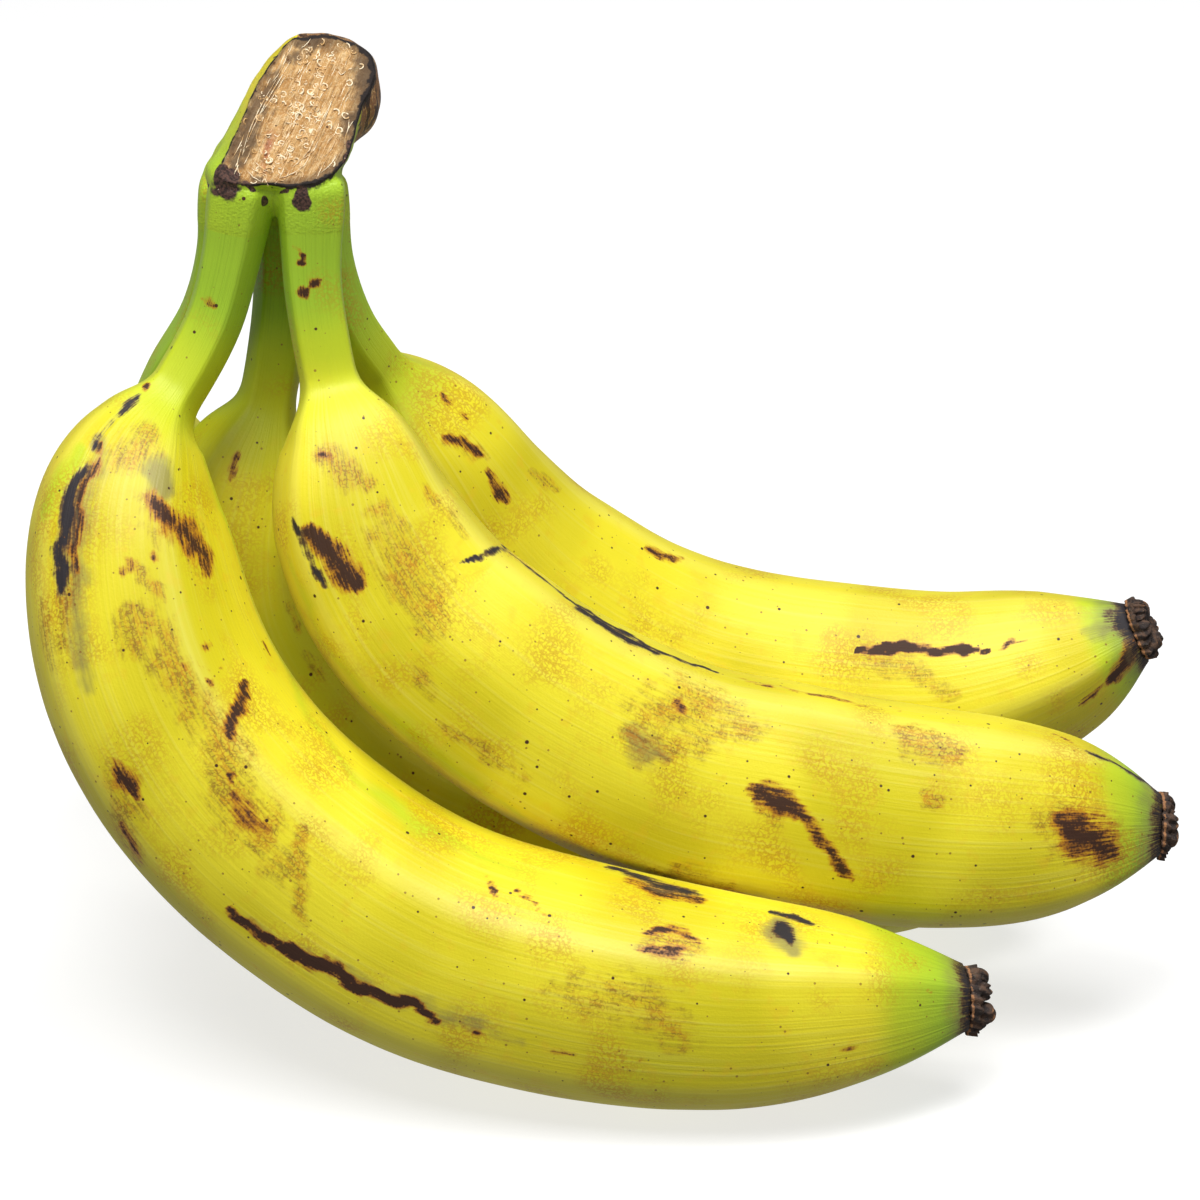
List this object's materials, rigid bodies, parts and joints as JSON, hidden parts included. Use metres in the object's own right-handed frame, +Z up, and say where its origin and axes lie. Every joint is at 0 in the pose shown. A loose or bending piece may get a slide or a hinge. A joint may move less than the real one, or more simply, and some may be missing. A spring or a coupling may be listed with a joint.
{
  "type": "bunch of bananas",
  "caption": "Bunch of ripe bananas joined at a cut crown, lying on their curved bellies with the crown up and the dried blossom ends to one side.",
  "frame": {"origin": "middle of the bounding box's underside, on the surface that the bunch lies on", "axes": "+X from the stalks to the blossom ends, +Y from the front row to the back row, +Z up"},
  "size_m": [0.1878, 0.1474, 0.157],
  "materials": {
    "banana_skin": "smooth waxy fruit skin, yellow with brown bruises, greener on the stalks",
    "crown": "cut plant fibre, dry and rough",
    "dried_flower": "dried and wrinkled, dull"
  },
  "bodies": {
    "root": {"crown": "crown", "banana_front_outer": "banana_skin", "banana_front_inner": "banana_skin", "banana_back_inner": "banana_skin", "banana_middle_outer": "banana_skin", "banana_back_outer": "banana_skin", "dried_flower_front_outer": "dried_flower", "dried_flower_front_inner": "dried_flower", "dried_flower_back_inner": "dried_flower", "dried_flower_middle_outer": "dried_flower", "dried_flower_back_outer": "dried_flower"}
  },
  "joints": []
}
